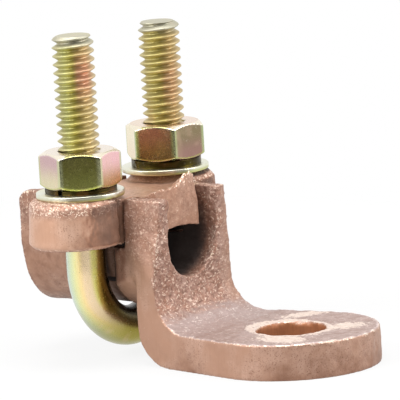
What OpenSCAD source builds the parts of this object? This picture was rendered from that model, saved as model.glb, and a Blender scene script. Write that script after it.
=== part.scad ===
// Terminal lug with a U-bolt cable clamp.
//
// A cast copper-alloy lug has a round pad for a stud, a bent web and an open
// trough for the cable.  A clamp bar drops between the trough's horns, its two
// bosses ride on the legs of a U-bolt, and a nut, a split washer and a flat
// washer on each leg pull the bar down on the cable.
//
// Millimetres.  X runs along the cable towards the pad's free end, Y runs
// across, Z runs up the bolt.  The origin is on the stud hole's axis, at the
// pad's underside.  "Left" is the -Y side and "right" the +Y side.

/* [Pad] */
// Diameter of the round pad
pad_d = 26.2; // [22:0.2:34]
// Thickness of the pad
pad_t = 5.4; // [4:0.1:8]
// Diameter of the stud hole
stud_hole_d = 10.2; // [6:0.1:13]
// Diameter of the machined ring round the stud hole
spot_d = 13.2; // [13.2:0.1:18]
// Depth of the machined ring
spot_depth = 0.15; // [0.05:0.05:0.5]

/* [Web] */
// Thickness of the upright web between pad and trough
web_t = 4.2; // [3:0.1:7]
// Width of the web where it rises from the pad
web_w = 19.8; // [17:0.2:24]
// Fillet radius inside the bend, between pad and web
bend_inner_r = 5.8; // [2:0.1:7]
// Rounding radius outside the bend
bend_outer_r = 6; // [3:0.1:7]
// How far the web's front face leans out towards its top
front_lean = 0.8; // [0:0.1:1.5]

/* [Trough] */
// Distance from the stud hole's axis to the plane of the U-bolt
clamp_setback = 29.25; // [27:0.25:40]
// Width of the cable channel
channel_w = 12; // [9:0.2:18]
// Height of the channel's floor above the pad's underside
channel_rise = 12.2; // [11:0.1:18]
// Thickness of the trough's floor above the U-bolt
floor_t = 4.6; // [3:0.1:5]
// Thickness of the trough's wall beside the U-bolt
groove_wall = 1.4; // [1:0.1:3]
// Height that the flanges' sides stand proud of the U-bolt's groove
flange_h = 0.8; // [0.4:0.1:2]
// Height that the flanges' underside stands proud of the groove
flange_foot_h = 0.3; // [0:0.1:1]
// Height of the side walls above the channel's floor
wall_h = 5.2; // [4.6:0.1:9]
// Thickness of the front horns along the cable
front_horn_t = 6.8; // [6:0.1:9]
// Thickness of the rear horns along the cable
rear_horn_t = 8.4; // [4:0.1:10]
// Height of the front horns above the side walls
front_horn_h = 7.4; // [4:0.1:10]
// Height of the rear horns above the side walls
rear_horn_h = 7.8; // [4:0.1:10]
// Rounding of the rear horns' tips, at their rear corners
rear_horn_round = 2; // [0.5:0.1:4]
// Width of one front horn at its tip
horn_tip_w = 2.2; // [1.6:0.1:4]

/* [Clamp bar] */
// Radius of a boss at its foot
boss_r = 7; // [6:0.1:6.9]
// Height of the left boss
boss_left_h = 7.8; // [6:0.1:12]
// Height of the right boss
boss_right_h = 8.3; // [6:0.1:12]
// Taper of a boss, from foot to top, on its radius
boss_taper = 0.35; // [0:0.05:0.5]
// Distance that a boss is set outwards from its bolt leg
boss_offset = 1.5; // [1.3:0.1:2.5]
// Broken edge at the foot of each boss
boss_foot_edge = 0.6; // [0.2:0.1:1.2]
// Broken edge round the top of the left boss
boss_left_edge = 0.6; // [0.2:0.1:2]
// Broken edge round the top of the right boss
boss_right_edge = 1.3; // [0.2:0.1:2]
// Height of the bosses' undersides above the bar's seats
boss_relief = 0.7; // [0:0.1:1]
// Width of the bridge between the bosses, along the cable
bridge_l = 11; // [9:0.1:11.4]
// Height of the bridge between the bosses
bridge_h = 7.1; // [5:0.1:7.2]
// Length of the saddle that presses on the cable
saddle_l = 20.2; // [16:0.2:24]
// Height from the bar's seats to the saddle's pressing face
saddle_rise = 1.4; // [0.5:0.1:3]
// Depth of the hollow along the saddle's pressing face
saddle_hollow = 0.55; // [0.2:0.05:1]
// Width of the flat land on each side of that hollow
saddle_land = 0.5; // [0.2:0.1:1.5]
// Gap between the saddle and each side of the channel
saddle_gap = 0.8; // [0.4:0.1:2]

/* [U-bolt] */
// Major diameter of the thread
thread_d = 6.25; // [5:0.05:8]
// Diameter of the plain shank
shank_d = 6; // [5:0.05:6.2]
// Pitch of the thread, cut as rings and not as a helix
thread_pitch = 1.27; // [1:0.01:1.6]
// Depth of the thread
thread_depth = 0.75; // [0.4:0.05:0.8]
// Threaded length of each leg
thread_l = 27.5; // [24:0.5:30]
// Height of the left leg's tip above the boss it passes through
left_stand = 24.1; // [20:0.1:28]
// Height of the right leg's tip above the boss it passes through
right_stand = 22.7; // [20:0.1:28]
// Chamfer at each tip
tip_chamfer = 0.7; // [0.3:0.1:1.2]
// Space below the trough that the bend hangs down at rest
bend_hang = 0.55; // [0.4:0.05:2]

/* [Nuts and washers] */
// Nut width across its flats
nut_af = 10.7; // [10:0.1:14]
// Nut height
nut_h = 5.45; // [4:0.05:7]
// Outside diameter of the flat washers
washer_d = 13.2; // [11.2:0.1:14]
// Thickness of the flat washers
washer_t = 0.8; // [0.5:0.1:1.6]
// Outside diameter of the split washers
split_d = 10.6; // [9.6:0.1:11]
// Thickness of the left split washer, pulled nearly flat
split_left_t = 0.65; // [0.5:0.05:2]
// Thickness of the right split washer, still sprung open
split_right_t = 1.1; // [0.5:0.05:2]
// Width of the cut through a split washer
split_cut = 0.7; // [0.3:0.1:1.5]

/* [Clearances] */
// Gap between the U-bolt's legs and the groove they stand in
leg_gap = 0.15; // [0.1:0.05:0.5]
// Gap between the bridge and the horns, each side
horn_gap = 0.25; // [0.15:0.05:1]
// Gap between the bosses' flats and the horns' sides
boss_side_gap = 0.3; // [0.2:0.05:1]
// Gap between the bar and the side walls that it seats on
seat_gap = 0.3; // [0:0.05:0.5]
// Gap between the saddle and the channel on the side that the bar lies towards
saddle_side_gap = 0.2; // [0.1:0.05:0.4]
// Gap of a leg in its boss hole on the side that the bar lies away from
boss_hole_gap = 0.2; // [0.1:0.05:1]
// Radial gap of a leg in a washer
washer_gap = 0.25; // [0.1:0.05:0.5]
// Radial running gap of a leg in its nut
nut_gap = 0.05; // [0.01:0.01:0.1]

/* [Hidden] */
$fn = 96;
past = 1;                       // how far a cut runs past what it cuts
left = -1;
right = 1;

pad_r = pad_d / 2;
channel_r = channel_w / 2;
groove_r = channel_r + groove_wall;
trough_r = groove_r + flange_h;
leg_y = groove_r + leg_gap + thread_d / 2;
groove_l = thread_d + 2 * leg_gap;
groove_under = channel_rise - floor_t;
flange_under = groove_under - flange_foot_h;

groove_front = -clamp_setback + groove_l / 2;
groove_rear = -clamp_setback - groove_l / 2;

window_l = bridge_l + 2 * horn_gap;
window_front = -clamp_setback + window_l / 2;
window_rear = -clamp_setback - window_l / 2;
front_x = window_front + front_horn_t;          // front face, at the horn tips
rear_x = window_rear - rear_horn_t;
wall_z = channel_rise + wall_h;                 // top of the side walls
front_horn_z = wall_z + front_horn_h;
rear_horn_z = wall_z + rear_horn_h;
web_x = front_x - front_lean;                   // front face, at the pad
web_back = web_x - web_t;

bar_z = wall_z + seat_gap;                      // the bar's seat
bar_shift = saddle_gap - saddle_side_gap;       // the bar lies to the left
saddle_w = channel_w - 2 * saddle_gap;
boss_hole_r = thread_d / 2 + bar_shift + boss_hole_gap;
boss_front = -clamp_setback + boss_r;
horn_side = trough_r                            // front horn's half width there
    + (web_w / 2 - trough_r) * (boss_front - groove_front) / (web_x - groove_front);
boss_flat_y = horn_side + boss_side_gap + bar_shift;
bend_r = leg_y;
bend_z = groove_under - bend_hang + bend_r - shank_d / 2;

nut_corner_r = nut_af / 2 / cos(30);
nut_chamfer_r = nut_af * 0.48;
nut_cone_h = (nut_corner_r + past - nut_chamfer_r) * tan(30);
nut_left_turn = 37;                             // where each nut came to rest
nut_right_turn = 20;

function boss_edge(side) = side == left ? boss_left_edge : boss_right_edge;
function boss_h(side) = side == left ? boss_left_h : boss_right_h;
function split_t(side) = side == left ? split_left_t : split_right_t;
function leg_stand(side) = side == left ? left_stand : right_stand;
function boss_top(side) = bar_z + boss_h(side);
function tip_z(side) = boss_top(side) + leg_stand(side);
function split_z(side) = boss_top(side) + washer_t;
function nut_z(side) = split_z(side) + split_t(side);

cast_colour = [0.71, 0.50, 0.41];
zinc_colour = [0.80, 0.77, 0.50];
steel_colour = [0.80, 0.80, 0.70];

// ---- Lug -----------------------------------------------------------------

// Side view of pad and web, with X across and Z up: an L with a rounded bend.
module bend_profile() {
    difference() {
        union() {
            translate([web_back, 0]) square([pad_r - web_back, pad_t]);
            polygon([[web_back, 0], [web_x, 0],
                     [web_x, channel_rise], [front_x, front_horn_z],
                     [window_front, front_horn_z], [window_front, wall_z],
                     [web_back, wall_z]]);
            difference() {
                translate([web_x - past / 2, pad_t - past / 2])
                    square(bend_inner_r + past / 2);
                translate([web_x + bend_inner_r, pad_t + bend_inner_r])
                    circle(bend_inner_r);
            }
        }
        difference() {
            translate([web_back - past, -past]) square(bend_outer_r + past);
            translate([web_back + bend_outer_r, bend_outer_r])
                circle(bend_outer_r);
        }
    }
}

// Plan of pad and web: the pad's disc, its flared neck and the narrowing
// front flange behind it.
module lug_plan() {
    neck = [web_x, web_w / 2];
    touch = touch_point(neck, pad_r);
    side = [touch, neck, [groove_front, trough_r]];
    circle(pad_r);
    polygon(concat(side, [for (i = [2:-1:0]) [side[i].x, -side[i].y]]));
}

// Front view of pad and web, with Y across and Z up: wide at the pad and
// narrowing up to the horn tips.
module lug_front() {
    tip_y = channel_r + horn_tip_w;
    polygon([[-pad_r, 0], [pad_r, 0], [pad_r, pad_t],
             [web_w / 2, pad_t + bend_inner_r],
             [web_w / 2, channel_rise], [tip_y, front_horn_z],
             [-tip_y, front_horn_z], [-web_w / 2, channel_rise],
             [-web_w / 2, pad_t + bend_inner_r], [-pad_r, pad_t]]);
}

// Where a line from the point p touches a circle of radius r at the origin,
// on the side nearer to the circle's foot.
function touch_point(p, r) =
    let (a = atan2(p.y, p.x) - acos(r / norm(p))) r * [cos(a), sin(a)];

// A U open at the top, with its rounded foot at height under.
module u_shape(r, under, top) {
    translate([0, under + r]) circle(r);
    translate([-r, under + r]) square([2 * r, top - under - r]);
}

// The trough's outside: half an ellipse under sides that stand upright.
module bowl(half_w, under, top) {
    depth = wall_z - under;
    polygon(concat([for (a = [180:7.5:360]) [half_w * cos(a), wall_z + depth * sin(a)]],
                   top > wall_z ? [[half_w, top], [-half_w, top]] : []));
}

// Turns a drawing of the YZ plane into a solid from x0 to x1.
module along_x(x0, x1) {
    translate([x0, 0, 0]) rotate([90, 0, 90])
        linear_extrude(x1 - x0) children();
}

module pad_and_web() {
    intersection() {
        rotate([90, 0, 0]) translate([0, 0, -pad_d])
            linear_extrude(2 * pad_d) bend_profile();
        linear_extrude(front_horn_z) lug_plan();
        along_x(rear_x, pad_r) lug_front();
    }
}

// Side view of the rear horns, with X across and Z up: tall and rounded at
// the rear corner of the tip.
module rear_profile() {
    translate([rear_x, 0]) difference() {
        square([window_rear + past - rear_x, rear_horn_z]);
        difference() {
            translate([-past, rear_horn_z - rear_horn_round])
                square(rear_horn_round + past);
            translate([rear_horn_round, rear_horn_z - rear_horn_round])
                circle(rear_horn_round);
        }
    }
}

module trough() {
    intersection() {
        along_x(groove_front, web_back + past) bowl(web_w / 2, flange_under, front_horn_z);
        linear_extrude(wall_z) lug_plan();
        along_x(groove_front, web_back + past) lug_front();
    }
    along_x(groove_rear, groove_front) bowl(groove_r, groove_under, wall_z);
    along_x(window_rear, groove_rear) bowl(trough_r, flange_under, wall_z);
    intersection() {
        along_x(rear_x - past, window_rear) bowl(trough_r, flange_under, rear_horn_z + past);
        rotate([90, 0, 0]) translate([0, 0, -2 * trough_r])
            linear_extrude(4 * trough_r) rear_profile();
    }
}

module channel() {
    along_x(rear_x - past, front_x + past)
        u_shape(channel_r, channel_rise, rear_horn_z + past);
}

module lug() {
    color(cast_colour) difference() {
        union() {
            pad_and_web();
            trough();
        }
        channel();
        translate([0, 0, -past]) cylinder(d = stud_hole_d, h = pad_t + 2 * past);
        translate([0, 0, pad_t - spot_depth]) cylinder(d = spot_d, h = past);
    }
}

// ---- Clamp bar -----------------------------------------------------------

// Tapered boss with its edges broken, as one revolved outline. Flats clear
// the sides of the horns, and between the horns the boss runs into the bridge.
module boss(side) {
    h = boss_h(side);
    top_r = boss_r - boss_taper;
    edge = boss_edge(side);
    intersection() {
        translate([0, side * (leg_y + boss_offset), 0]) rotate_extrude()
            polygon([[0, boss_relief], [boss_r - boss_foot_edge, boss_relief],
                     [boss_r, boss_relief + boss_foot_edge],
                     [top_r, h - edge], [top_r - edge, h], [0, h]]);
        union() {
            rotate(side * 90) translate([boss_flat_y, -boss_r - past, 0])
                cube([2 * boss_r + leg_y, 2 * (boss_r + past), h + past]);
            translate([-bridge_l / 2, -leg_y, 0]) cube([bridge_l, 2 * leg_y, h + past]);
        }
    }
}

module clamp_bar() {
    hollow_w = saddle_w - 2 * saddle_land;
    hollow_r = (pow(hollow_w / 2, 2) + pow(saddle_hollow, 2)) / (2 * saddle_hollow);
    arch_w = channel_w + 2 * bar_shift;
    color(cast_colour) translate([-clamp_setback, -bar_shift, bar_z]) difference() {
        union() {
            for (side = [left, right]) boss(side);
            translate([-bridge_l / 2, -leg_y, boss_relief])
                cube([bridge_l, 2 * leg_y, bridge_h - boss_relief]);
            // the seats on the side walls, a little lower than the bosses
            translate([-bridge_l / 2, -trough_r, 0])
                cube([bridge_l, 2 * trough_r, bridge_h / 2]);
            translate([-saddle_l / 2, -saddle_w / 2, saddle_rise])
                cube([saddle_l, saddle_w, bridge_h - saddle_rise]);
        }
        // the arch between the seats, over the channel
        translate([-bridge_l, -arch_w / 2, -past])
            cube([2 * bridge_l, arch_w, saddle_rise + past]);
        // the hollow along the saddle's pressing face
        translate([-saddle_l, 0, saddle_rise + saddle_hollow - hollow_r])
            rotate([0, 90, 0]) cylinder(r = hollow_r, h = 2 * saddle_l);
        for (side = [left, right])
            translate([0, side * leg_y + bar_shift, -past])
                cylinder(r = boss_hole_r, h = boss_h(side) + 2 * past);
    }
}

// ---- U-bolt --------------------------------------------------------------

// Outline of a threaded end, to be revolved: plain at its foot, ringed with
// V grooves and chamfered at its tip.
module thread_profile() {
    thread_r = thread_d / 2;
    grooved_l = thread_l - tip_chamfer;
    turns = floor(grooved_l / thread_pitch);
    first = grooved_l - turns * thread_pitch;
    polygon(concat([[0, 0], [thread_r, 0]],
                   [for (i = [0:turns - 1])
                       each [[thread_r, first + i * thread_pitch],
                             [thread_r - thread_depth, first + (i + 0.5) * thread_pitch]]],
                   [[thread_r, grooved_l], [thread_r - tip_chamfer, thread_l],
                    [0, thread_l]]));
}

module leg(side) {
    shank_l = tip_z(side) - thread_l - bend_z;
    translate([-clamp_setback, side * leg_y, bend_z]) {
        cylinder(d = shank_d, h = shank_l);
        translate([0, 0, shank_l]) rotate_extrude() thread_profile();
    }
}

module u_bolt() {
    color(zinc_colour) {
        leg(left);
        leg(right);
        translate([-clamp_setback, 0, bend_z]) rotate([-90, 0, 90])
            rotate_extrude(angle = 180) translate([bend_r, 0]) circle(d = shank_d);
    }
}

// ---- Nuts and washers ----------------------------------------------------

module on_leg(side, z) {
    translate([-clamp_setback, side * leg_y, z]) children();
}

module ring(r, bore_r, h) {
    difference() {
        cylinder(r = r, h = h);
        translate([0, 0, -past]) cylinder(r = bore_r, h = h + 2 * past);
    }
}

module flat_washer(side) {
    color(steel_colour) on_leg(side, boss_top(side))
        ring(washer_d / 2, thread_d / 2 + washer_gap, washer_t);
}

module split_washer(side) {
    t = split_t(side);
    color(steel_colour) on_leg(side, split_z(side)) difference() {
        ring(split_d / 2, thread_d / 2 + washer_gap, t);
        rotate(side * 90) translate([0, -split_cut / 2, -past])
            cube([split_d, split_cut, t + 2 * past]);
    }
}

module nut(side) {
    turn = side == left ? nut_left_turn : nut_right_turn;
    color(zinc_colour) on_leg(side, nut_z(side)) difference() {
        intersection() {
            rotate(turn) cylinder(r = nut_corner_r, h = nut_h, $fn = 6);
            rotate_extrude()
                polygon([[0, 0], [nut_chamfer_r, 0],
                         [nut_corner_r + past, nut_cone_h],
                         [nut_corner_r + past, nut_h - nut_cone_h],
                         [nut_chamfer_r, nut_h], [0, nut_h]]);
        }
        translate([0, 0, -past]) cylinder(r = thread_d / 2 + nut_gap, h = nut_h + 2 * past);
    }
}

lug();
clamp_bar();
u_bolt();
flat_washer(left);  // flat_washer_left
flat_washer(right);  // flat_washer_right
split_washer(left);  // split_washer_left
split_washer(right);  // split_washer_right
nut(left);  // nut_left
nut(right);  // nut_right
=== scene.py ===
import math

import bmesh
import bpy
import numpy as np
from mathutils import Matrix, Vector, noise


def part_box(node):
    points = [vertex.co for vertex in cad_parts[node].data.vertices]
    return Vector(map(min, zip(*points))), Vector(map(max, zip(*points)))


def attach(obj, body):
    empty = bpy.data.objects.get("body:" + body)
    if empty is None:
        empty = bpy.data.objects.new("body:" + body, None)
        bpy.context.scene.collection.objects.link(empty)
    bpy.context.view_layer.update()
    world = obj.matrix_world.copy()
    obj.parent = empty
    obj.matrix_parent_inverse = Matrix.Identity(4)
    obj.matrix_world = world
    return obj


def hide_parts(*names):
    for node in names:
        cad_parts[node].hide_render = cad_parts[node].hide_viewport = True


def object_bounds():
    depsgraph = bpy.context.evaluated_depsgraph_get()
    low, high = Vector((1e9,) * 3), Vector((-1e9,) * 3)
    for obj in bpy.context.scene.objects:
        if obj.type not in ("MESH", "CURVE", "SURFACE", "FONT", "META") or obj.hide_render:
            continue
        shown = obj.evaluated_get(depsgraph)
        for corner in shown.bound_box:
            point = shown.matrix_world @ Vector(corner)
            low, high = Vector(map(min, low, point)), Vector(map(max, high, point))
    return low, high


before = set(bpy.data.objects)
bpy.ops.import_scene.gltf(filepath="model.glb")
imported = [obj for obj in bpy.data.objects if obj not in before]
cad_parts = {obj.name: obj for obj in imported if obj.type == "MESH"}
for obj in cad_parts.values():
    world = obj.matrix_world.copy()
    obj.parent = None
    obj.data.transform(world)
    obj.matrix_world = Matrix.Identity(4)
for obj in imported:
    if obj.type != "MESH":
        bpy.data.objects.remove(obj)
cad_low, cad_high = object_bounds()
MM = 0.001

# ---- Camera, light and floor ----------------------------------------------
# A long lens looks down on the lug from the front left. White sheets stand
# round it on three sides, and the dark side of the studio is behind the camera.
CAMERA_AT = Vector((434.0, -605.8, 150.1)) * MM
CAMERA_AIM = Vector((-12.3, -4.2, 24.6)) * MM
CAMERA_ROLL = math.radians(3.38)
LENS = 462.8
WHITE = (1, 1, 1)
SKY_WHITE = (1, 0.985, 0.965)
SOFT_LIGHT = 0.74
DARK_SIDE = (0.045, 0.042, 0.036)
DARK_TOWARDS = math.radians(-38)
DARK_RISE = 0.1
FLOOR_SIDE = 0.24
FLOOR_GREY = (0.62, 0.62, 0.62)
FLOOR_GLOW = 0.86

camera = bpy.data.objects.new("camera", bpy.data.cameras.new("camera"))
bpy.context.scene.collection.objects.link(camera)
bpy.context.scene.camera = camera
bpy.context.scene.view_settings.view_transform = "Standard"
camera.data.lens = LENS
camera.data.sensor_width = 36
camera.data.clip_start = 0.05
camera.data.clip_end = 20
look = CAMERA_AIM - CAMERA_AT
camera.matrix_world = (
    Matrix.Translation(CAMERA_AT)
    @ look.to_track_quat("-Z", "Y").to_matrix().to_4x4()
    @ Matrix.Rotation(-CAMERA_ROLL, 4, "Z")
)


class Value:
    """A node's output with arithmetic, so that shader maths reads as maths."""

    def __init__(self, socket):
        self.socket = socket

    def math(self, operation, *values):
        tree = self.socket.node.id_data
        made = tree.nodes.new("ShaderNodeMath")
        made.operation = operation
        for slot, value in zip(made.inputs, values):
            plug(tree, slot, value)
        return Value(made.outputs[0])

    def __add__(self, other): return self.math("ADD", self, other)
    def __radd__(self, other): return self.math("ADD", other, self)
    def __sub__(self, other): return self.math("SUBTRACT", self, other)
    def __rsub__(self, other): return self.math("SUBTRACT", other, self)
    def __mul__(self, other): return self.math("MULTIPLY", self, other)
    def __rmul__(self, other): return self.math("MULTIPLY", other, self)
    def __truediv__(self, other): return self.math("DIVIDE", self, other)
    def lower_of(self, other): return self.math("MINIMUM", self, other)
    def upper_of(self, other): return self.math("MAXIMUM", self, other)
    def fraction(self): return self.math("FRACT", self)
    def size(self): return self.math("ABSOLUTE", self)

    def rise(self, low, high):
        """A smooth climb from 0 at low to 1 at high, which may lie below low."""
        tree = self.socket.node.id_data
        made = tree.nodes.new("ShaderNodeMapRange")
        made.interpolation_type = "SMOOTHSTEP"
        plug(tree, made.inputs["Value"], self)
        made.inputs["From Min"].default_value = min(low, high)
        made.inputs["From Max"].default_value = max(low, high)
        if low > high:
            made.inputs["To Min"].default_value = 1
            made.inputs["To Max"].default_value = 0
        return Value(made.outputs[0])


def plug(tree, slot, value):
    """Links a node's output to a socket, or sets the socket's own value."""
    if isinstance(value, Value):
        tree.links.new(value.socket, slot)
    else:
        slot.default_value = value


def rgba(colour):
    return colour if isinstance(colour, Value) else (*colour, 1)


class Nodes:
    """A node tree, and short ways to add nodes to it."""

    def __init__(self, tree):
        self.tree = tree
        tree.nodes.clear()

    def add(self, kind, settings=None, inputs=None, out=0):
        made = self.tree.nodes.new(kind)
        for name, value in (settings or {}).items():
            setattr(made, name, value)
        for name, value in (inputs or {}).items():
            plug(self.tree, made.inputs[name], value)
        return Value(made.outputs[out]) if made.outputs else None

    def mix(self, factor, low, high, blend="MIX"):
        made = self.tree.nodes.new("ShaderNodeMix")
        made.data_type = "RGBA"
        made.blend_type = blend
        slots = {s.identifier: s for s in made.inputs}
        plug(self.tree, slots["Factor_Float"], factor)
        plug(self.tree, slots["A_Color"], rgba(low))
        plug(self.tree, slots["B_Color"], rgba(high))
        return Value(next(s for s in made.outputs if s.identifier == "Result_Color"))

    def light_path(self, *kinds):
        """1 for a ray of any of these kinds."""
        rays = [self.add("ShaderNodeLightPath", out=f"Is {kind} Ray") for kind in kinds]
        return sum(rays[1:], rays[0])


def new_material(name):
    material = bpy.data.materials.new(name)
    material.use_nodes = True
    return material, Nodes(material.node_tree)


world = bpy.data.worlds.new("studio")
bpy.context.scene.world = world
world.use_nodes = True
studio = Nodes(world.node_tree)
seen = studio.light_path("Camera", "Transmission")
mirrored = studio.light_path("Glossy")
direction = studio.add("ShaderNodeTexCoord", out="Generated")
dark_way = (math.cos(DARK_TOWARDS), math.sin(DARK_TOWARDS), DARK_RISE)
towards = studio.add("ShaderNodeVectorMath", {"operation": "DOT_PRODUCT"},
                     {0: direction, 1: dark_way}, out="Value")
sheets = studio.mix(towards.rise(0.38, 0.74), WHITE, DARK_SIDE)
ambient = studio.add("ShaderNodeBackground", None,
                     {"Color": rgba(SKY_WHITE), "Strength": SOFT_LIGHT})
reflected = studio.add("ShaderNodeBackground", None, {"Color": sheets, "Strength": 1})
backdrop = studio.add("ShaderNodeBackground", None, {"Color": rgba(WHITE), "Strength": 1})
lit = studio.add("ShaderNodeMixShader", None, {0: mirrored, 1: ambient, 2: reflected})
shown = studio.add("ShaderNodeMixShader", None, {0: seen, 1: lit, 2: backdrop})
studio.add("ShaderNodeOutputWorld", None, {"Surface": shown})

middle = (cad_low + cad_high) / 2


def softbox(name, azimuth, height, away, size, watts):
    """A round lamp that faces the lug, placed by angles in degrees."""
    lamp = bpy.data.objects.new(name, bpy.data.lights.new(name, "AREA"))
    bpy.context.scene.collection.objects.link(lamp)
    lamp.data.shape = "DISK"
    lamp.data.size = size
    lamp.data.energy = watts
    a, e = math.radians(azimuth), math.radians(height)
    back = Vector((math.sin(a) * math.cos(e), -math.cos(a) * math.cos(e), math.sin(e)))
    lamp.location = middle + back * away
    lamp.rotation_mode = "QUATERNION"
    lamp.rotation_quaternion = back.to_track_quat("Z", "Y")


softbox("left_softbox", azimuth=-20, height=32, away=0.55, size=0.34, watts=2.2)
softbox("right_softbox", azimuth=112, height=30, away=0.55, size=0.30, watts=1.7)
softbox("top_softbox", azimuth=30, height=80, away=0.5, size=0.3, watts=1.6)

floor_mesh = bpy.data.meshes.new("floor")
half = FLOOR_SIDE / 2
corners = [(middle.x + x, middle.y + y, cad_low.z)
           for x, y in ((-half, -half), (half, -half), (half, half), (-half, half))]
floor_mesh.from_pydata(corners, [], [(0, 1, 2, 3)])
floor = bpy.data.objects.new("floor", floor_mesh)
bpy.context.scene.collection.objects.link(floor)
floor_paint, sheet = new_material("floor_paint")
bright = sheet.light_path("Camera", "Glossy", "Transmission").lower_of(1)
matt = sheet.add("ShaderNodeBsdfDiffuse", None, {"Color": rgba(FLOOR_GREY)})
glow = sheet.add("ShaderNodeEmission", None, {"Color": rgba(WHITE), "Strength": 1})
surface = sheet.add("ShaderNodeMixShader", None, {0: bright * FLOOR_GLOW, 1: matt, 2: glow})
sheet.add("ShaderNodeOutputMaterial", None, {"Surface": surface})
floor.data.materials.append(floor_paint)

# ---- Lug ------------------------------------------------------------------
# The lug is sand cast in a copper alloy. Its outline is trimmed smooth, its
# front keeps the grain of the sand, and the pad's top has rubbed bright.
SAND_SKIN = (0.42, 0.225, 0.155)
SKIN_PALE = (0.52, 0.34, 0.275)
SKIN_CLOUD = (0.58, 0.42, 0.37)
SKIN_STAIN = (0.30, 0.155, 0.105)
SKIN_PIT = (0.20, 0.095, 0.062)
BARE_METAL_GLINT = (0.88, 0.70, 0.58)
TRIMMED = (0.49, 0.29, 0.20)
TRIMMED_PALE = (0.575, 0.375, 0.285)
TRIM_MARK = (0.44, 0.245, 0.155)
PEPPER = (0.27, 0.135, 0.08)
NICK = (0.74, 0.57, 0.47)
FILM_DARK = (0.30, 0.205, 0.175)
FILM_PALE = (0.40, 0.29, 0.262)
FILM_PIT = (0.26, 0.17, 0.14)
FILM_WORN_AND_SHEEN = (0.56, 0.46, 0.45)
FILM_GLINT = (0.84, 0.74, 0.68)
TARNISH_AND_SHADE = (0.54, 0.44, 0.38)
EDGE_WARM = (0.86, 0.66, 0.50)
EDGE_PALE = (0.96, 0.83, 0.70)
DRILLED = (0.34, 0.132, 0.056)
DRILL_MARK = (0.29, 0.112, 0.048)
RUBBED = (0.60, 0.48, 0.41)
RUBBED_PALE = (0.74, 0.61, 0.53)
SHADE_WARM_RIM = (1.0, 0.80, 0.68)
SHADE_BLACK = (0.036, 0.023, 0.019)
LUG_TONE = (0.80, 0.76, 0.74)

# Lengths and points are in millimetres from here on
HOLE_R = 5.1
PAD_TOP = 5.4
FLOOR_Z = 12.2
CHANNEL_R = 6.0
WEB_X = -17.5
FOLD_X = -13
FOOT_X = -11
HORN_Z = 19
LUMP_LIMIT = 0.12
CAST_SINK = 0.03
BURR_W = 0.55
BURR_H = 0.14
# Bright rubs on the pad: centre x and y, half length, half width, turn in degrees
RUBS = ((3.4, -7.4, 5.2, 3.2, -10), (6.9, 4.4, 3.6, 2.7, 56),
        (-4.2, 9.4, 4.6, 2.0, 63), (5.5, -3.6, 2.2, 0.8, 49))


def smooth_step(values, low, high):
    """A smooth climb from 0 at low to 1 at high, which may lie below low."""
    t = np.clip((values - low) / (high - low), 0, 1)
    return t * t * (3 - 2 * t)


def hump(values, centre, width):
    """1 at the centre, falling off to both sides."""
    return np.exp(-((values - centre) / width) ** 2)


def fuzz(points, scale, seed, octaves=3):
    """Fractal noise from about -1 to 1 at points; scale is per millimetre."""
    shift = Vector((seed * 13.7, seed * 5.3, -seed * 9.1))
    return np.array([noise.fractal(Vector(p) * scale + shift, 1.0, 2.0, octaves)
                     for p in points.tolist()])


def read_array(items, name, width=3, kind=float):
    values = np.empty(len(items) * width, kind)
    items.foreach_get(name, values)
    return values.reshape(-1, width)


def paint(mesh, name, values):
    """Stores a value from 0 to 1 on each point, for the finish to read."""
    layer = mesh.attributes.new(name, "FLOAT", "POINT")
    layer.data.foreach_set("value", np.clip(values, 0, 1).astype(np.float32))


class Casting:
    """A dense copy of a CAD node whose points can be moved before it is kept."""

    def __init__(self, node, name, voxel, smoothing):
        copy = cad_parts[node].data.copy()
        shape = bmesh.new()
        shape.from_mesh(copy)
        bmesh.ops.remove_doubles(shape, verts=shape.verts, dist=0.002 * MM)
        shape.to_mesh(copy)
        shape.free()
        self.node = node
        self.object = bpy.data.objects.new(name, copy)
        bpy.context.scene.collection.objects.link(self.object)
        remesh = self.object.modifiers.new("remesh", "REMESH")
        remesh.mode = "VOXEL"
        remesh.voxel_size = voxel * MM
        soften = self.object.modifiers.new("soften", "SMOOTH")
        soften.factor = 0.5
        soften.iterations = smoothing
        graph = bpy.context.evaluated_depsgraph_get()
        dense = bpy.data.meshes.new_from_object(self.object.evaluated_get(graph))
        self.object.modifiers.clear()
        self.object.data = dense
        dense.name = name
        bpy.data.meshes.remove(copy)
        self.read()

    def read(self):
        mesh = self.object.data
        self.points = read_array(mesh.vertices, "co") / MM
        self.normals = read_array(mesh.vertices, "normal")
        self.edges = read_array(mesh.edges, "vertices", 2, int)

    def write(self):
        mesh = self.object.data
        mesh.vertices.foreach_set("co", (self.points * MM).ravel())
        mesh.update()
        self.read()

    def beside(self, values):
        """The mean of a value over each point's neighbours."""
        a, b = self.edges.T
        size = len(values)
        count = np.bincount(a, minlength=size) + np.bincount(b, minlength=size)
        total = np.bincount(a, values[b], size) + np.bincount(b, values[a], size)
        return total / np.maximum(count, 1)

    def spread(self, values, times):
        for _ in range(times):
            values = (values + self.beside(values)) / 2
        return values

    def edge_sharpness(self):
        """How far each point stands out of its neighbours, as along an edge."""
        out = sum((line - self.beside(line)) * normal
                  for line, normal in zip(self.points.T, self.normals.T))
        return self.spread(out, 1)

    def paint(self, **values):
        for name, value in values.items():
            paint(self.object.data, name, value)

    def finish(self, material, body):
        mesh = self.object.data
        mesh.materials.clear()
        mesh.materials.append(material)
        mesh.polygons.foreach_set("use_smooth", np.ones(len(mesh.polygons), bool))
        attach(self.object, body)
        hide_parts(self.node)


def in_millimetres(n):
    at = n.add("ShaderNodeTexCoord", out="Object")
    return n.add("ShaderNodeVectorMath", {"operation": "SCALE"}, {0: at, "Scale": 1 / MM})


def painted(n, *names):
    """The values of painted attributes, as asked for; 0 where a piece has none."""
    read = [n.add("ShaderNodeAttribute", {"attribute_name": name}, out="Fac") for name in names]
    return read if len(read) > 1 else read[0]


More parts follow.
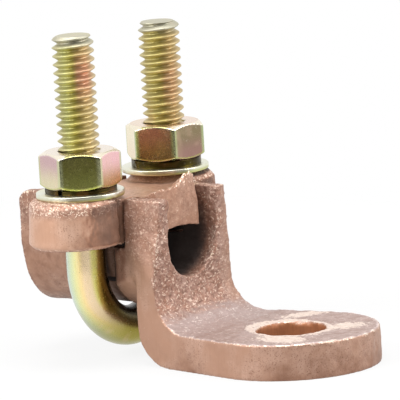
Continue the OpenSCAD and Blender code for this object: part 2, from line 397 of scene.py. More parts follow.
def stretched(n, at, scale):
    return n.add("ShaderNodeMapping", None, {"Vector": at, "Scale": scale})


def noise_map(n, at, scale, detail, roughness=0.5, distortion=0):
    return n.add("ShaderNodeTexNoise", None, {
        "Vector": at, "Scale": scale, "Detail": detail,
        "Roughness": roughness, "Distortion": distortion})


def cast_finish(name, tone):
    """Pink-brown cast alloy. Painted values say where it is trimmed, bright with wear,
    lit by a painted sheen, filmed over, rubbed, tarnished, painted darker as shade,
    drilled, or near black with painted shade."""
    material, n = new_material(name)
    at = in_millimetres(n)
    trimmed, wear_and_sheen, film, painted_shade = painted(n, "trimmed", "wear_and_sheen", "film", "painted_shade")
    rubbed, tarnish_and_shade, drilled = painted(n, "rubbed", "tarnish_and_shade", "drilled")
    wide = stretched(n, at, (1, 0.65, 1))
    cloud = noise_map(n, at, scale=0.16, detail=3, roughness=0.55)
    blotch = noise_map(n, at, scale=0.55, detail=4, roughness=0.6)
    patchy = noise_map(n, at, scale=0.9, detail=3, roughness=0.6, distortion=0.5)
    grain = noise_map(n, wide, scale=1.9, detail=4, roughness=0.66)
    sparkle = noise_map(n, wide, scale=2.9, detail=2, roughness=0.55, distortion=0.8)
    streak = noise_map(n, stretched(n, at, (1, 1, 0.10)), scale=3.4, detail=3, roughness=0.6)
    fleck = noise_map(n, at, scale=1.5, detail=3, roughness=0.65)
    pepper = noise_map(n, at, scale=4.6, detail=2)

    # The sand's skin with bare metal grains painted as glints, the trimmed sides, and the film on
    # the pad's top with painted glints and a painted sheen
    skin = n.mix(blotch.rise(0.3, 0.7), SAND_SKIN, SKIN_PALE)
    skin = n.mix(cloud.rise(0.52, 0.66) * 0.5, skin, SKIN_CLOUD)
    skin = n.mix(patchy.rise(0.50, 0.36) * 0.45, skin, SKIN_STAIN)
    skin = n.mix(grain.rise(0.60, 0.34) * 0.75, skin, SKIN_PIT)
    # Bare metal grains painted bright as glints
    skin = n.mix(sparkle.rise(0.555, 0.65) * 0.9, skin, BARE_METAL_GLINT)
    cut = n.mix(cloud.rise(0.36, 0.62), TRIMMED, TRIMMED_PALE)
    cut = n.mix(streak.rise(0.4, 0.7) * 0.30, cut, TRIM_MARK)
    cut = n.mix(pepper.rise(0.45, 0.32) * cloud.rise(0.38, 0.6) * 0.75, cut, PEPPER)
    cut = n.mix(fleck.rise(0.66, 0.74) * 0.35, cut, NICK)
    filmed = n.mix(blotch.rise(0.3, 0.7), FILM_DARK, FILM_PALE)
    filmed = n.mix(grain.rise(0.50, 0.34) * 0.4, filmed, FILM_PIT)
    filmed = n.mix(wear_and_sheen * 2.2, filmed, FILM_WORN_AND_SHEEN)
    filmed = n.mix(sparkle.rise(0.58, 0.68) * (0.3 + wear_and_sheen * 2), filmed, FILM_GLINT)
    colour = n.mix(1, n.mix(trimmed, skin, cut), tone, "MULTIPLY")
    colour = n.mix(film * (1 - trimmed * 0.6), colour, filmed)

    # Tarnished tone with painted shade, bright edges, the drilled hole, rubs, and painted shade
    # near black
    dull = (tarnish_and_shade + (blotch - 0.5) * 0.9).rise(0.15, 0.85)
    colour = n.mix(dull, colour, TARNISH_AND_SHADE, "MULTIPLY")
    edge = (wear_and_sheen * 0.95 + (sparkle - 0.5) * 1.5 + (pepper - 0.5) * 1.9).rise(0.62, 0.88)
    colour = n.mix(edge * 0.9, colour, n.mix(grain.rise(0.3, 0.7), EDGE_WARM, EDGE_PALE))
    colour = n.mix(drilled, colour, n.mix(streak.rise(0.35, 0.65), DRILLED, DRILL_MARK))
    rub = (rubbed + (fleck - 0.5) * 1.4 + (grain - 0.5) * 0.6).rise(0.40, 0.54)
    colour = n.mix(rub * 0.92, colour, n.mix(grain.rise(0.35, 0.65), RUBBED, RUBBED_PALE))
    # Painted shade: near black where deepest, with a warm rim where it thins out
    shade_mask = (painted_shade * 1.15 + (blotch - 0.5) * 0.25).rise(0.1, 0.95)
    colour = n.mix(shade_mask.rise(0, 0.45) * 0.8, colour, SHADE_WARM_RIM, "MULTIPLY")
    colour = n.mix(shade_mask, colour, SHADE_BLACK)

    rough = 0.52 - edge * 0.2 - rub * 0.04 + painted_shade * 0.3 - trimmed * 0.06 + drilled * 0.12
    relief = ((grain * 0.5 + sparkle * 0.5) * (1 - trimmed * 0.85) * (1 - film * 0.55)
              + streak * trimmed * 0.15)
    bump = n.add("ShaderNodeBump", None,
                 {"Strength": 0.8, "Distance": 0.18 * MM, "Height": relief})
    metal = n.add("ShaderNodeBsdfPrincipled", None, {
        "Base Color": colour, "Metallic": 0.45 - painted_shade * 0.4,
        "Roughness": rough, "Normal": bump})
    n.add("ShaderNodeOutputMaterial", None, {"Surface": metal})
    return material


box = {name: [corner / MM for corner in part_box(name)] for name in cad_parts}
rear_end = box["lug"][0].x
clamp_x = (box["u_bolt"][0].x + box["u_bolt"][1].x) / 2
leg_r = (box["u_bolt"][1].x - box["u_bolt"][0].x) / 2
leg_y = box["u_bolt"][1].y - leg_r

lug = Casting("lug", "lug_casting", voxel=0.24, smoothing=5)
p, (x, y, z), (nx, ny, nz) = lug.points, lug.points.T, lug.normals.T

# Lumps of the sand mould, held off the hole's wall and the pad's underside
front = smooth_step(nx, 0.25, 0.7) * smooth_step(x, WEB_X - 1.5, WEB_X)
inside = (smooth_step(np.abs(y), CHANNEL_R + 0.5, CHANNEL_R - 0.2)
          * smooth_step(z, FLOOR_Z - 0.5, FLOOR_Z))
grainy = np.clip(front + inside + smooth_step(nz, 0.5, 0.9), 0, 1)
lumpy = smooth_step(z, FLOOR_Z - 2, FLOOR_Z + 4)
stud = np.hypot(x, y)
keep_flat = smooth_step(stud, HOLE_R + 0.2, HOLE_R + 1.6) * smooth_step(z, 0.05, 1.2)
coarse = fuzz(p, 0.22, seed=1) * (0.10 + 0.08 * lumpy)
fine = fuzz(p, 0.9, seed=2) * (0.02 + 0.08 * grainy)
move = np.minimum((coarse + fine) * keep_flat, LUMP_LIMIT) - CAST_SINK * keep_flat
lug.points = p + lug.normals * move[:, None]

# The torn burr round the hole's upper rim
rim = hump(stud, HOLE_R, BURR_W) * smooth_step(z, PAD_TOP - 0.7, PAD_TOP - 0.15)
torn = np.clip(fuzz(p, 0.6, seed=5, octaves=2) + 0.15, -0.1, 0.9) * BURR_W
lug.points[:, :2] += p[:, :2] * (rim * torn / np.maximum(stud, 1))[:, None]
lug.points[:, 2] += rim * BURR_H
lug.write()

# Zones of the finished shape
(x, y, z), (nx, ny, nz) = lug.points.T, lug.normals.T
sharp = lug.edge_sharpness()
side = smooth_step(np.abs(ny) + np.maximum(nx, 0) * (z < PAD_TOP), 0.35, 0.75)
horn = smooth_step(z, 13, HORN_Z)
rear = smooth_step(x, clamp_x, clamp_x - 3)
crown = rear * smooth_step(z, HORN_Z, HORN_Z + 3)
far_wall = front * smooth_step(y, 6.2, 8.2)
# A painted sheen along the fillet where the pad rises into the web
fold_sheen = smooth_step(np.abs(x - FOLD_X), 4, 2) * smooth_step(nz, 0.4, 0.8)
# Painted shade along the bottom of the fillet
foot_shade = smooth_step(np.abs(x - FOOT_X), 4.5, 1) * smooth_step(z, PAD_TOP + 1.6, PAD_TOP)
upright_edge = smooth_step(z, PAD_TOP + 2, PAD_TOP + 4)
wide_edge = (smooth_step(lug.spread(sharp, 12), 0.004, 0.016)
             * smooth_step(z, PAD_TOP, PAD_TOP + 3))
chipped = (smooth_step(lug.spread(sharp, 5), 0.006, 0.018) * (1 - upright_edge)
           * smooth_step(z, PAD_TOP - 1.6, PAD_TOP - 0.4))

# Painted shade: in the channel, in the U-bolt's groove and behind the web
inner = (np.abs(y) < CHANNEL_R + 0.35) & (z > FLOOR_Z - 0.4)
in_channel = (inner * smooth_step(x, WEB_X + 1.2, WEB_X - 2.2)
              * (0.45 + 0.55 * smooth_step(z, 25.5, 18))
              * (0.35 + 0.65 * smooth_step(x, WEB_X + 1.4, WEB_X - 6))
              * (0.45 + 0.55 * smooth_step(x, rear_end + 0.5, rear_end + 5)))
rear_face = smooth_step(nx, -0.4, -0.8) * smooth_step(x, rear_end + 1, rear_end + 0.3)
groove = (smooth_step(np.abs(x - clamp_x), 3.9, 3.1) * smooth_step(x - clamp_x, 2.4, 0.9)
          * smooth_step(np.abs(y), 5.5, 7))
back_of_web = (smooth_step(x, WEB_X - 4.5, WEB_X - 7) * smooth_step(nx, 0.2, -0.5)
               * smooth_step(x, rear_end + 1, rear_end + 2.5))
painted_shade_zones = np.maximum(in_channel * (1 - rear_face), np.maximum(groove, back_of_web) * 0.75)

# Rubs: a bright ring round the hole, wider towards the web, and loose patches
on_top = smooth_step(nz, 0.7, 0.95) * smooth_step(z, PAD_TOP - 0.6, PAD_TOP - 0.3)
facing = (y * 0.3 - x * 0.95) / np.maximum(stud, 1)
ring_w = (0.7 + 2.0 * smooth_step(facing, 0.2, 1.0)
          + 0.7 * smooth_step(facing, -0.3, -0.75) * smooth_step(y, -1, 1))
rubbed = smooth_step(stud, HOLE_R + 0.5 + ring_w, HOLE_R + 0.2 + ring_w * 0.6) * 0.66
for rub_x, rub_y, half_l, half_w, turn in RUBS:
    c, s = math.cos(math.radians(turn)), math.sin(math.radians(turn))
    along = ((x - rub_x) * c + (y - rub_y) * s) / half_l
    across = ((y - rub_y) * c - (x - rub_x) * s) / half_w
    rubbed = np.maximum(rubbed, np.exp(-(along ** 2 + across ** 2)) * 0.86)

lug.paint(
    trimmed=np.maximum(side * (1 - inner) * (1 - 0.6 * horn * (1 - rear))
                       * (1 - 0.7 * wide_edge) * (1 - 0.7 * crown), far_wall * 0.5),
    # Bright wear on edges and crowns, and the painted sheen along the fillet
    wear_and_sheen=(smooth_step(sharp, 0.012, 0.048) * (1 - 0.45 * upright_edge)
          + wide_edge * 0.28 + crown * 0.2 + fold_sheen * 0.12 + chipped * 0.34),
    film=(smooth_step(nz, 0.45, 0.85) * smooth_step(z, PAD_TOP + 6, PAD_TOP + 1)
          * smooth_step(x, WEB_X - 1, WEB_X + 2)),
    # Painted shade, spread a little
    painted_shade=lug.spread(painted_shade_zones, 2),
    # Darker at the rear, on the horns and on the far wall; painted shade at the bottom of the
    # fillet, low on the sides and towards the pad's end
    tarnish_and_shade=(rear * 0.42 + horn * (1 - rear) * 0.06 + foot_shade * 0.3 + far_wall * 0.2
             + side * (smooth_step(z, PAD_TOP * 0.8, 0) * 0.2 + smooth_step(x, -4, 8) * 0.36)),
    drilled=smooth_step(stud, HOLE_R + 0.5, HOLE_R + 0.2) * smooth_step(nz, 0.75, 0.45),
    rubbed=on_top * rubbed)
lug.finish(cast_finish("cast_alloy_lug", LUG_TONE), "lug")

# ---- U-bolt ---------------------------------------------------------------
# One steel rod is threaded at both ends and bent to a U, and then zinc plated
# and passivated in yellow chromate, which leaves an iridescent film.
PITCH = 1.27
THREAD_DEPTH = 0.80
THREAD_LENGTH = 27.5
ROOT_FLAT = 0.1
FLANK_RISE = 1.3
SHANK_R = 3.0
TIP_R = 2.62
TIP_SLOPE = 0.8
ROWS_PER_TURN = 12
BEND_STEP = 0.5
SIDES_OF_ROD = 72

ZINC_YELLOW = (0.80, 0.70, 0.36)
ZINC_PINK = (0.84, 0.56, 0.44)
DRAWN_MARK = (0.72, 0.66, 0.44)
SCUFFED_ZINC = (0.85, 0.82, 0.68)
SHADOW_BLACK = (0.012, 0.010, 0.009)
BLUSH = (0.70, 0.41, 0.29)
CREST_TINT = (0.66, 0.64, 0.58)
TIP_GREY = (0.48, 0.46, 0.36)
# Painted reflections and shade run across the rod this way, across the camera's view, and turn
# into the bend
ACROSS_VIEW = (0.81, 0.59)
# Film colours with painted reflections and painted shade, and their places across the rod, from 0
# to 1
BEND_FILM_AND_REFLECTIONS = (
    (0.0, (0.60, 0.70, 0.66)), (0.12, (0.72, 0.80, 0.52)), (0.22, (0.88, 0.84, 0.42)),
    (0.34, (1.0, 0.78, 0.38)), (0.44, (0.94, 0.72, 0.46)), (0.58, (0.84, 0.66, 0.42)),
    (0.68, (0.66, 0.60, 0.18)), (0.76, (0.50, 0.45, 0.10)), (0.86, (0.34, 0.27, 0.06)),
    (0.97, (0.13, 0.10, 0.03)))
UNDERSIDE_FILM_AND_SHADE = (
    (0.0, (0.30, 0.30, 0.13)), (0.2, (0.34, 0.29, 0.055)), (0.42, (0.30, 0.25, 0.04)),
    (0.56, (0.25, 0.19, 0.04)), (0.72, (0.11, 0.08, 0.02)), (0.95, (0.03, 0.022, 0.014)))
LEFT_THREAD_FILM_AND_REFLECTIONS = (
    (0.0, (0.60, 0.56, 0.34)), (0.25, (0.50, 0.50, 0.24)), (0.46, (0.52, 0.47, 0.14)),
    (0.66, (0.63, 0.53, 0.25)), (1.0, (0.70, 0.60, 0.38)))
RIGHT_THREAD_FILM_AND_REFLECTIONS = (
    (0.0, (0.64, 0.56, 0.32)), (0.3, (0.52, 0.46, 0.20)), (0.5, (0.58, 0.50, 0.19)),
    (0.75, (0.58, 0.45, 0.23)), (1.0, (0.66, 0.54, 0.32)))

bend_z = box["u_bolt"][0].z + SHANK_R + leg_y


def u_path():
    """Points down the left leg, round the bend and up the right leg."""
    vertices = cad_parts["u_bolt"].data.vertices
    legs = []
    for hand in (-1, 1):
        tip_z = max(v.co.z for v in vertices if v.co.y * hand > 0) / MM
        threaded = np.arange(tip_z, tip_z - THREAD_LENGTH - PITCH, -PITCH / ROWS_PER_TURN)
        plain = np.arange(threaded[-1] - BEND_STEP, bend_z + BEND_STEP / 2, -BEND_STEP)
        legs.append([(hand * leg_y, z) for z in (*threaded, *plain)])
    steps = round(math.pi * leg_y / BEND_STEP)
    angles = [math.pi * i / steps for i in range(steps + 1)]
    bend = [(-leg_y * math.cos(a), bend_z - leg_y * math.sin(a)) for a in angles]
    return [(clamp_x * MM, y * MM, z * MM) for y, z in legs[0] + bend + legs[1][::-1]]


def threaded_rod_tree(material):
    """Sweeps a circle along the path and sets its radius from the thread's form."""
    tree = bpy.data.node_groups.new("threaded_rod", "GeometryNodeTree")
    face = tree.interface
    face.new_socket("Geometry", in_out="INPUT", socket_type="NodeSocketGeometry")
    for name in ("Pitch", "Thread depth", "Thread length", "Thread radius",
                 "Shank radius", "Tip radius", "Path length"):
        face.new_socket(name, in_out="INPUT", socket_type="NodeSocketFloat")
    face.new_socket("Geometry", in_out="OUTPUT", socket_type="NodeSocketGeometry")
    g = Nodes(tree)
    given = tree.nodes.new("NodeGroupInput")
    size = {s.name: Value(s) for s in given.outputs}

    def captured(geometry, kinds):
        """The geometry, and values that it keeps from before it is swept."""
        node = tree.nodes.new("GeometryNodeCaptureAttribute")
        plug(tree, node.inputs["Geometry"], geometry)
        for kind, name, value in kinds:
            node.capture_items.new(kind, name)
            plug(tree, node.inputs[name], value)
        return [Value(node.outputs[name]) for name in ("Geometry", *(k[1] for k in kinds))]

    path = g.add("GeometryNodeMeshToCurve", None, {"Mesh": size["Geometry"]})
    path, travelled, centre = captured(path, [
        ("FLOAT", "Travelled", g.add("GeometryNodeSplineParameter", out="Length")),
        ("VECTOR", "Centre", g.add("GeometryNodeInputPosition"))])
    circle = g.add("GeometryNodeCurvePrimitiveCircle", None,
                   {"Resolution": SIDES_OF_ROD, "Radius": size["Thread radius"]})
    circle, around = captured(circle, [
        ("FLOAT", "Around", g.add("GeometryNodeSplineParameter", out="Factor"))])
    rod = g.add("GeometryNodeCurveToMesh", None,
                {"Curve": path, "Profile Curve": circle, "Fill Caps": True})

    phase = (travelled / size["Pitch"] - around).fraction()
    height = (2 * phase - 1).size()
    flank = ((height - ROOT_FLAT) * FLANK_RISE).lower_of(1).upper_of(0)
    from_tip = travelled.lower_of(size["Path length"] - travelled)
    thread = size["Thread radius"] - size["Thread depth"] * (1 - flank)
    run_out = ((from_tip - size["Thread length"]) / size["Pitch"]).lower_of(1).upper_of(0)
    radius = thread * (1 - run_out) + size["Shank radius"] * run_out
    radius = radius.lower_of(size["Tip radius"] + from_tip * TIP_SLOPE)

    outward = g.add("ShaderNodeVectorMath", {"operation": "SUBTRACT"},
                    {0: g.add("GeometryNodeInputPosition"), 1: centre})
    outward = g.add("ShaderNodeVectorMath", {"operation": "NORMALIZE"}, {0: outward})
    offset = g.add("ShaderNodeVectorMath", {"operation": "SCALE"}, {0: outward, "Scale": radius})
    target = g.add("ShaderNodeVectorMath", {"operation": "ADD"}, {0: centre, 1: offset})
    rod = g.add("GeometryNodeSetPosition", None, {"Geometry": rod, "Position": target})
    rod = g.add("GeometryNodeSetShadeSmooth", None, {"Geometry": rod})
    rod = g.add("GeometryNodeStoreNamedAttribute", {"data_type": "FLOAT", "domain": "POINT"},
                {"Geometry": rod, "Name": "crest", "Value": flank * (1 - run_out)})
    rod = g.add("GeometryNodeRealizeInstances", None, {"Geometry": rod})
    rod = g.add("GeometryNodeSetMaterial", None, {"Geometry": rod, "Material": material})
    g.add("NodeGroupOutput", None, {"Geometry": rod})
    return tree


def made_by_nodes(name, points, tree, values):
    """Runs a path through a node tree and keeps the result as a plain mesh."""
    line = bpy.data.meshes.new(name + "_path")
    line.from_pydata(points, [(i, i + 1) for i in range(len(points) - 1)], [])
    piece = bpy.data.objects.new(name, line)
    bpy.context.scene.collection.objects.link(piece)
    modifier = piece.modifiers.new("build", "NODES")
    modifier.node_group = tree
    for socket in tree.interface.items_tree:
        if socket.in_out == "INPUT" and socket.name in values:
            modifier[socket.identifier] = values[socket.name]
    graph = bpy.context.evaluated_depsgraph_get()
    made = bpy.data.meshes.new_from_object(piece.evaluated_get(graph))
    piece.modifiers.clear()
    piece.data = made
    made.name = name
    return piece


def ramp(n, value, stops):
    """Colours along a value; stops are (place, colour) pairs."""
    made = n.tree.nodes.new("ShaderNodeValToRGB")
    points = made.color_ramp.elements
    while len(points) < len(stops):
        points.new(1)
    for point, (place, colour) in zip(points, stops):
        point.position = place
        point.color = rgba(colour)
    plug(n.tree, made.inputs[0], value)
    return Value(made.outputs[0])


def plated_finish(name, film, polish, wander, drift_to=ZINC_YELLOW, patch_to=ZINC_PINK):
    """Chromate on zinc: a thin film whose colour wanders with its thickness,
    and near black where a painted shadow is painted. The film and the polish
    are each one value, or a function that reads the value from the piece."""
    material, n = new_material(name)
    at = in_millimetres(n)
    painted_shadow = painted(n, "painted_shadow")
    drift = noise_map(n, at, scale=0.13, detail=2, distortion=0.4)
    patch = noise_map(n, at, scale=0.33, detail=2, distortion=0.2)
    scuff = noise_map(n, at, scale=1.7, detail=3, roughness=0.6)
    drawn = noise_map(n, stretched(n, at, (1, 1, 0.15)), scale=3.2, detail=3, roughness=0.6)
    colour = film(n) if callable(film) else film
    colour = n.mix(drift.rise(0.42, 0.68) * wander, colour, drift_to)
    colour = n.mix(patch.rise(0.55, 0.72) * wander, colour, patch_to)
    colour = n.mix(drawn.rise(0.5, 0.75) * 0.25, colour, DRAWN_MARK, "MULTIPLY")
    colour = n.mix(scuff.rise(0.62, 0.75) * 0.22, colour, SCUFFED_ZINC)
    colour = n.mix(painted_shadow, colour, SHADOW_BLACK)
    bump = n.add("ShaderNodeBump", None,
                 {"Strength": 0.35, "Distance": 0.02 * MM, "Height": scuff + drawn * 0.6})
    rough = polish(n) if callable(polish) else polish
    metal = n.add("ShaderNodeBsdfPrincipled", None, {
        "Base Color": colour, "Metallic": 1.0,
        "Roughness": scuff * 0.12 + painted_shadow * 0.4 + rough, "Normal": bump})
    n.add("ShaderNodeOutputMaterial", None, {"Surface": metal})
    return material


def rod_film_and_reflections(n):
    """The film's colours round the rod, with painted reflections and painted
    shade across the view, and painted shade under the bend; it blushes pink in
    places, and is duller on the thread's crests and grey at the cut tips."""
    around, low, threaded = painted(n, "around", "low", "threaded")
    right_leg, blush, crest, tip = painted(n, "right_leg", "blush", "crest", "tip")
    bend = n.mix(low, ramp(n, around, BEND_FILM_AND_REFLECTIONS), ramp(n, around, UNDERSIDE_FILM_AND_SHADE))
    thread = n.mix(right_leg, ramp(n, around, LEFT_THREAD_FILM_AND_REFLECTIONS),
                   ramp(n, around, RIGHT_THREAD_FILM_AND_REFLECTIONS))
    thread = n.mix(blush, thread, BLUSH)
    thread = n.mix(crest * 0.45, thread, CREST_TINT, "MULTIPLY")
    return n.mix(tip, n.mix(threaded, bend, thread), TIP_GREY)


def rod_polish(n):
    return 0.20 + painted(n, "threaded") * 0.27


route = u_path()
rod_sizes = {"Pitch": PITCH, "Thread depth": THREAD_DEPTH, "Thread length": THREAD_LENGTH,
             "Thread radius": leg_r, "Shank radius": SHANK_R, "Tip radius": TIP_R}
values = {name: length * MM for name, length in rod_sizes.items()}
values["Path length"] = sum(math.dist(a, b) for a, b in zip(route, route[1:]))
rod_finish = plated_finish("plated_rod", rod_film_and_reflections, rod_polish, wander=0.16)
u_bolt = made_by_nodes("u_bolt_rod", route, threaded_rod_tree(rod_finish), values)

# Where each point lies on the rod: round it, along it, and inside the bend
x, y, z = (read_array(u_bolt.data.vertices, "co") / MM).T
below = np.minimum(z - bend_z, 0)
reach = np.maximum(np.hypot(y, below), 1)
low = smooth_step(-below / reach, 0.35, 0.95)
inward = np.where(below < 0, leg_y - reach, leg_y - np.abs(y)) / SHANK_R
threaded = smooth_step(z, bend_z + 4, bend_z + 5)
sideways = np.where((threaded > 0.5) & (y >= 0), -inward, inward)
# Round the rod measured across the camera's view, so that the colour ramps paint reflections and
# shade as seen from the front left
around = 0.5 + 0.5 * ((ACROSS_VIEW[0] - 0.7 * low) * (x - clamp_x) / SHANK_R
                      + (ACROSS_VIEW[1] + 0.41 * low) * sideways)
tip_z = np.where(y < 0, z[y < 0].max(), z[y > 0].max())
blush = np.where(y < 0, hump(tip_z - z, 6, 3.2), 0.4 * hump(tip_z - z, 9.5, 3))
blush = blush * smooth_step(around, 0.46, 0.62) * smooth_step(around, 1.05, 0.8)
# Painted shadow on the right leg's inner side, on its front half, where it passes under the far
# boss
painted_shadow = ((y > 0) * smooth_step(z, 13, 15.5) * smooth_step(z, 19.5, 18.8)
         * smooth_step(inward, -0.3, -0.05) * smooth_step(x, clamp_x - 1.5, clamp_x))
rod_zones = {"around": around, "threaded": threaded, "right_leg": y > 0, "blush": blush,
             "painted_shadow": painted_shadow, "tip": smooth_step(z, tip_z - 1.9, tip_z - 0.9), "low": low}
for name, zone in rod_zones.items():
    paint(u_bolt.data, name, zone)
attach(u_bolt, "u_bolt")
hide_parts("u_bolt")

# ---- Clamp bar ------------------------------------------------------------
# The bar is cast in the same alloy as the lug. Two bosses take the U-bolt's
# legs, and the saddle between them has a ragged lip of flash along its front.
BAR_TONE = (1.04, 1.01, 0.98)
SADDLE_SIDE = 6
LIP_LEAN = 0.28
BAR_LUMP_LIMIT = 0.1
STAIN_AT = (-23.4, -18.6, 19.9)
STAIN_SHAPE = (1, 1, 1.25)

bar_low, bar_high = box["clamp_bar"]
bridge_top = bar_low.z + 7.1
bar = Casting("clamp_bar", "clamp_bar_casting", voxel=0.2, smoothing=3)
p, (x, y, z), (nx, ny, nz) = bar.points, bar.points.T, bar.normals.T
on_front = smooth_step(nx, 0.3, 0.8)
coarse = fuzz(p, 0.25, seed=11) * 0.09
fine = fuzz(p, 0.95, seed=12) * (0.02 + 0.06 * on_front)
bar.points = p + bar.normals * (np.minimum(coarse + fine, BAR_LUMP_LIMIT) - CAST_SINK)[:, None]

# The lip of flash stands up along the saddle's front edge, higher to the right
lip_h = 0.8 + 1.5 * smooth_step(y, -0.5, 3.5)
lip_w = 2.4 + 1.6 * smooth_step(y, -1, 3)
lip = (lip_h * smooth_step(x, bar_high.x - lip_w, bar_high.x - 0.5)
       * smooth_step(np.abs(y), SADDLE_SIDE + 0.6, SADDLE_SIDE)
       * smooth_step(z, bridge_top - 2.6, bridge_top))
bar.points[:, 2] += lip * (1 + 0.55 * fuzz(p * [1, 1, 0], 0.85, seed=14))
bar.points[:, 0] -= lip * LIP_LEAN
bar.write()

(x, y, z), (nx, ny, nz) = bar.points.T, bar.normals.T
boss = smooth_step(np.abs(y), 7, 9)
boss_crown = boss * smooth_step(z, bar_low.z + 5.0, bar_low.z + 6.2)
side = smooth_step(np.hypot(nx, ny), 0.5, 0.85)
on_top = smooth_step(nz, 0.5, 0.85) * (1 - boss)
lipped = np.clip(lip / 1.2, 0, 1) * smooth_step(z, bridge_top - 0.2, bridge_top + 0.6)
washer_z = box["flat_washer_left"][0].z
# Painted shadow on the boss tops round the washers' edges, painted shade on the boss faces beside
# the horns, and painted shade on faces that look down
washer_shadow = (smooth_step(z, washer_z - 0.42, washer_z - 0.08) * boss
                * (0.4 + 0.3 * (y > 0)) * smooth_step(nz, 0.95, 0.7))
shade_beside_horn = smooth_step(nx, 0.55, 0.98) * boss * 0.55
underside = smooth_step(-nz, 0.8, 0.97) * 0.8
from_stain = np.linalg.norm((bar.points - STAIN_AT) * STAIN_SHAPE, axis=1)
stain = smooth_step(from_stain + fuzz(bar.points, 0.45, seed=21, octaves=2) * 0.9, 2.6, 1.5)
bar.paint(
    trimmed=np.maximum(side * np.maximum(boss, 0.72) * (1 - boss_crown * 0.9), on_top * 0.75),
    wear_and_sheen=smooth_step(bar.edge_sharpness(), 0.012, 0.05) + boss_crown * 0.5 + lipped * 0.45,
    # Painted shade and painted shadow, the darkest of the three zones
    painted_shade=np.maximum.reduce([underside, washer_shadow, shade_beside_horn]),
    tarnish_and_shade=0.1 + (0.25 + on_front * 0.15) * (1 - boss) + stain * 0.32)
bar.finish(cast_finish("cast_alloy_bar", BAR_TONE), "clamp_bar")

# ---- Flat washers ---------------------------------------------------------
# Stamped steel washers, zinc plated, lie on the bosses under the spring
# washers. Each has slid a little off the axis of its leg.
SLID = (-0.18, -0.12, 0)
ZINC_SILVER = (0.80, 0.80, 0.70)
ZINC_GREEN = (0.50, 0.50, 0.17)
WASHER_DRIFT = (0.74, 0.74, 0.42)
WASHER_PATCH = (0.90, 0.86, 0.80)


def washer_film(n):
    """Silver on top, and greenish yellow towards the lower edge."""
    return n.mix(painted(n, "lower"), ZINC_SILVER, ZINC_GREEN)


washer_finish = plated_finish("plated_washer", washer_film, 0.26, 0.35,
                              WASHER_DRIFT, WASHER_PATCH)
for hand in ("left", "right"):
    node = "flat_washer_" + hand
    low_corner = box[node][0]
    washer = Casting(node, node + "_stamping", voxel=0.11, smoothing=2)
    washer.points += SLID
    washer.write()
    x, y, z = washer.points.T
    turned = (x - clamp_x) * ACROSS_VIEW[0] + (y - low_corner.y) * ACROSS_VIEW[1]
    washer.paint(lower=smooth_step(z - low_corner.z, 0.62, 0.22)
                 * (0.35 + 0.65 * smooth_step(turned, 0, 6)))
    washer.finish(washer_finish, "clamp_bar")

# ---- Split washers --------------------------------------------------------
# Spring washers of square wire are cut through at one place, where the cut
# left burrs. Their dark colour is painted shade for the gap under the nuts,
# with orange glints painted on it.
SPRING_IN_SHADE = (0.042, 0.030, 0.010)
SPRING_OLIVE = (0.15, 0.12, 0.02)
SPRING_ORANGE_GLINT = (0.34, 0.15, 0.05)
CUT_AT = {"left": -140, "right": -112}
CUT_BURR_WIDTH = 9
CUT_BURR = 0.05
LEGS = {"left": (clamp_x, -leg_y, 0), "right": (clamp_x, leg_y, 0)}


def degrees_round_leg(points, zero):
    """The angle of points about their leg's axis, measured from zero."""
    return np.degrees(np.arctan2(points[:, 1], points[:, 0])) - zero


spring_finish = plated_finish("dark_spring", SPRING_IN_SHADE, 0.3, 0.35, SPRING_OLIVE, SPRING_ORANGE_GLINT)
for hand, leg in LEGS.items():
    node = "split_washer_" + hand
    washer = Casting(node, node + "_spring", voxel=0.09, smoothing=2)
    q = washer.points - leg
    from_cut = (degrees_round_leg(q, CUT_AT[hand]) + 180) % 360 - 180
    burr = hump(from_cut, 0, CUT_BURR_WIDTH) * (0.5 + fuzz(washer.points, 1.1, 31, 2))
    washer.points[:, :2] += q[:, :2] * (burr * CUT_BURR)[:, None]
    washer.write()
    washer.finish(spring_finish, "clamp_bar")

# ---- Nuts -----------------------------------------------------------------
# Cold-formed hexagon nuts, chamfered on both faces and plated like the rod.
# Each flat has its own colour, from its upper edge to its lower edge: the
# film's tint with a painted reflection of what it faces, dark on the flats
# that face the studio's dark side.
NUT_TURN = {"left": 37, "right": 20}
NUT_FILMS_AND_REFLECTIONS = {
    "left": (
        ((0.80, 0.62, 0.40), (0.70, 0.66, 0.36)), ((0.76, 0.70, 0.38), (0.56, 0.52, 0.20)),
        ((0.84, 0.60, 0.50), (0.84, 0.72, 0.44)), ((0.62, 0.38, 0.46), (0.78, 0.68, 0.50)),
        ((0.215, 0.19, 0.032), (0.28, 0.28, 0.055)), ((0.97, 0.50, 0.64), (0.52, 0.22, 0.12))),
    "right": (
        ((0.80, 0.70, 0.42), (0.62, 0.56, 0.22)), ((0.82, 0.56, 0.48), (0.78, 0.66, 0.40)),
        ((0.72, 0.68, 0.36), (0.80, 0.70, 0.48)), ((0.96, 0.84, 0.66), (0.92, 0.74, 0.56)),
        ((0.30, 0.066, 0.100), (0.265, 0.086, 0.055)), ((0.22, 0.14, 0.10), (0.31, 0.125, 0.155))),
}
CORNER_HIGHLIGHT = {"left": (0.60, 0.62, 0.40), "right": (0.42, 0.50, 0.28)}
TOP_FILM = {"left": (0.88, 0.78, 0.68), "right": (0.86, 0.68, 0.56)}
CHAMFER_HIGHLIGHT = (0.94, 0.86, 0.72)
CHAMFER_DARK_REFLECTION = (0.40, 0.37, 0.09)
DARK_REFLECTING_FACE = 4
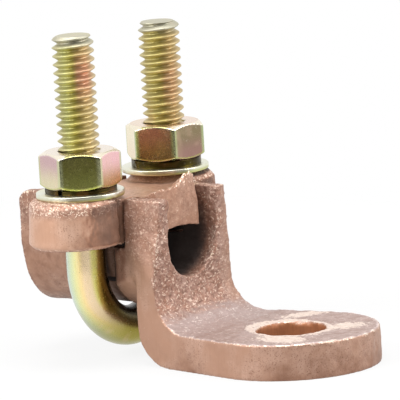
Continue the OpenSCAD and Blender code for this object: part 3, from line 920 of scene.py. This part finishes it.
FRINGE_FILM = (0.50, 0.56, 0.14)
CREST_HIGHLIGHT = (0.94, 0.90, 0.74)


def nut_film_and_reflections(n):
    return n.add("ShaderNodeAttribute", {"attribute_name": "film"}, out="Color")


def tinted(colours, share, colour):
    return colours * (1 - share[:, None]) + np.array(colour) * share[:, None]


nut_finish = plated_finish("plated_nut", nut_film_and_reflections, 0.2, 0.18)
for hand, leg in LEGS.items():
    node = "nut_" + hand
    low_corner, high_corner = box[node]
    nut = Casting(node, node + "_hexagon", voxel=0.12, smoothing=6)
    angle = degrees_round_leg(nut.points - leg, NUT_TURN[hand]) % 360
    face = (angle // 60).astype(int) % 6
    from_middle = np.abs(angle % 60 - 30)
    tilt = nut.normals[:, 2]
    height = smooth_step(nut.points[:, 2], low_corner.z + 0.8, high_corner.z - 1.2)
    films = np.array(NUT_FILMS_AND_REFLECTIONS[hand])
    colours = films[face, 0] * height[:, None] + films[face, 1] * (1 - height[:, None])
    on_chamfer = smooth_step(tilt, 0.3, 0.5)
    dark_reflection = ((face == DARK_REFLECTING_FACE) * on_chamfer * smooth_step(tilt, 0.97, 0.9)
             * smooth_step(from_middle, 25, 20))
    # Painted highlights at the corners, the crests and the upper chamfer, and a painted dark
    # reflection on the chamfer above the dark flat; the fringe and the top keep film colours
    for share, colour in ((smooth_step(from_middle, 23.5, 28.0) * 0.85, CORNER_HIGHLIGHT[hand]),
                          (hump(tilt, -0.22, 0.16) * 0.9, FRINGE_FILM),
                          (hump(tilt, 0.24, 0.14) * 0.7, CREST_HIGHLIGHT),
                          (on_chamfer, CHAMFER_HIGHLIGHT),
                          (dark_reflection * 0.85, CHAMFER_DARK_REFLECTION),
                          (smooth_step(tilt, 0.9, 0.97), TOP_FILM[hand])):
        colours = tinted(colours, share, colour)
    layer = nut.object.data.color_attributes.new("film", "FLOAT_COLOR", "POINT")
    opaque = np.column_stack([colours, np.ones(len(colours))])
    layer.data.foreach_set("color", opaque.astype(np.float32).ravel())
    nut.finish(nut_finish, "nut_" + hand)
